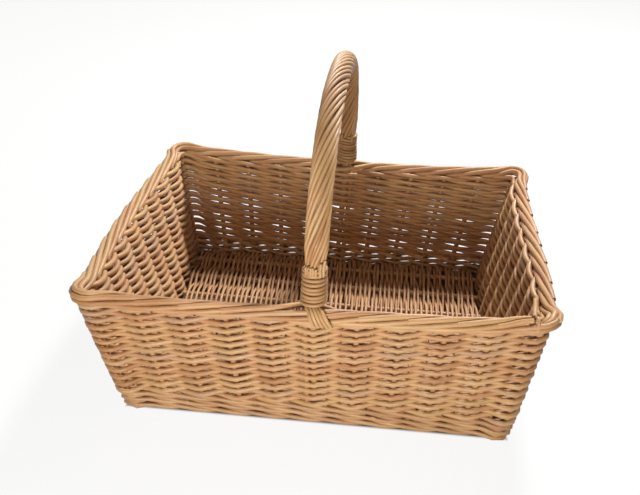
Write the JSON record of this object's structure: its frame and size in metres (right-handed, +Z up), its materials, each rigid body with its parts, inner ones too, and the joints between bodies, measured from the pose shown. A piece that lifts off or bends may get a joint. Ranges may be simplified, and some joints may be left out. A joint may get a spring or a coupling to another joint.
{
  "type": "wicker shopping basket",
  "caption": "Rectangular willow basket with sloping woven sides, a rod border bent from its stakes and a fixed arched handle wound with rods.",
  "frame": {"origin": "on the ground under the middle of the basket", "axes": "+X along the length, to the right seen from the front; -Y is the front long side; +Z up"},
  "size_m": [0.4996, 0.3928, 0.345],
  "materials": {
    "stakes": "peeled buff willow, satin",
    "base_sticks": "peeled buff willow, satin",
    "base_weave": "peeled buff willow, satin",
    "wale": "peeled buff willow, satin",
    "side_weave": "peeled buff willow, satin",
    "handle": "peeled buff willow, satin",
    "handle_winding": "peeled buff willow, satin",
    "lapping": "peeled buff willow, satin"
  },
  "bodies": {
    "root": {"stake_01": "stakes", "stake_02": "stakes", "stake_03": "stakes", "stake_04": "stakes", "stake_05": "stakes", "stake_06": "stakes", "stake_07": "stakes", "stake_08": "stakes", "stake_09": "stakes", "stake_10": "stakes", "stake_11": "stakes", "stake_12": "stakes", "stake_13": "stakes", "stake_14": "stakes", "stake_15": "stakes", "stake_16": "stakes", "stake_17": "stakes", "stake_18": "stakes", "stake_19": "stakes", "stake_20": "stakes", "stake_21": "stakes", "stake_22": "stakes", "stake_23": "stakes", "stake_24": "stakes", "stake_25": "stakes", "stake_26": "stakes", "stake_27": "stakes", "stake_28": "stakes", "stake_29": "stakes", "stake_30": "stakes", "stake_31": "stakes", "stake_32": "stakes", "stake_33": "stakes", "stake_34": "stakes", "stake_35": "stakes", "stake_36": "stakes", "stake_37": "stakes", "stake_38": "stakes", "base_stick_1": "base_sticks", "base_stick_2": "base_sticks", "base_stick_3": "base_sticks", "base_stick_4": "base_sticks", "base_stick_5": "base_sticks", "base_stick_6": "base_sticks", "base_stick_7": "base_sticks", "base_weave": "base_weave", "bottom_wale": "wale", "side_weave": "side_weave", "handle_bow": "handle", "handle_band_1": "handle_winding", "handle_band_2": "handle_winding", "handle_band_3": "handle_winding", "handle_band_4": "handle_winding", "front_lapping": "lapping", "back_lapping": "lapping", "front_tie": "lapping", "back_tie": "lapping"}
  },
  "joints": []
}
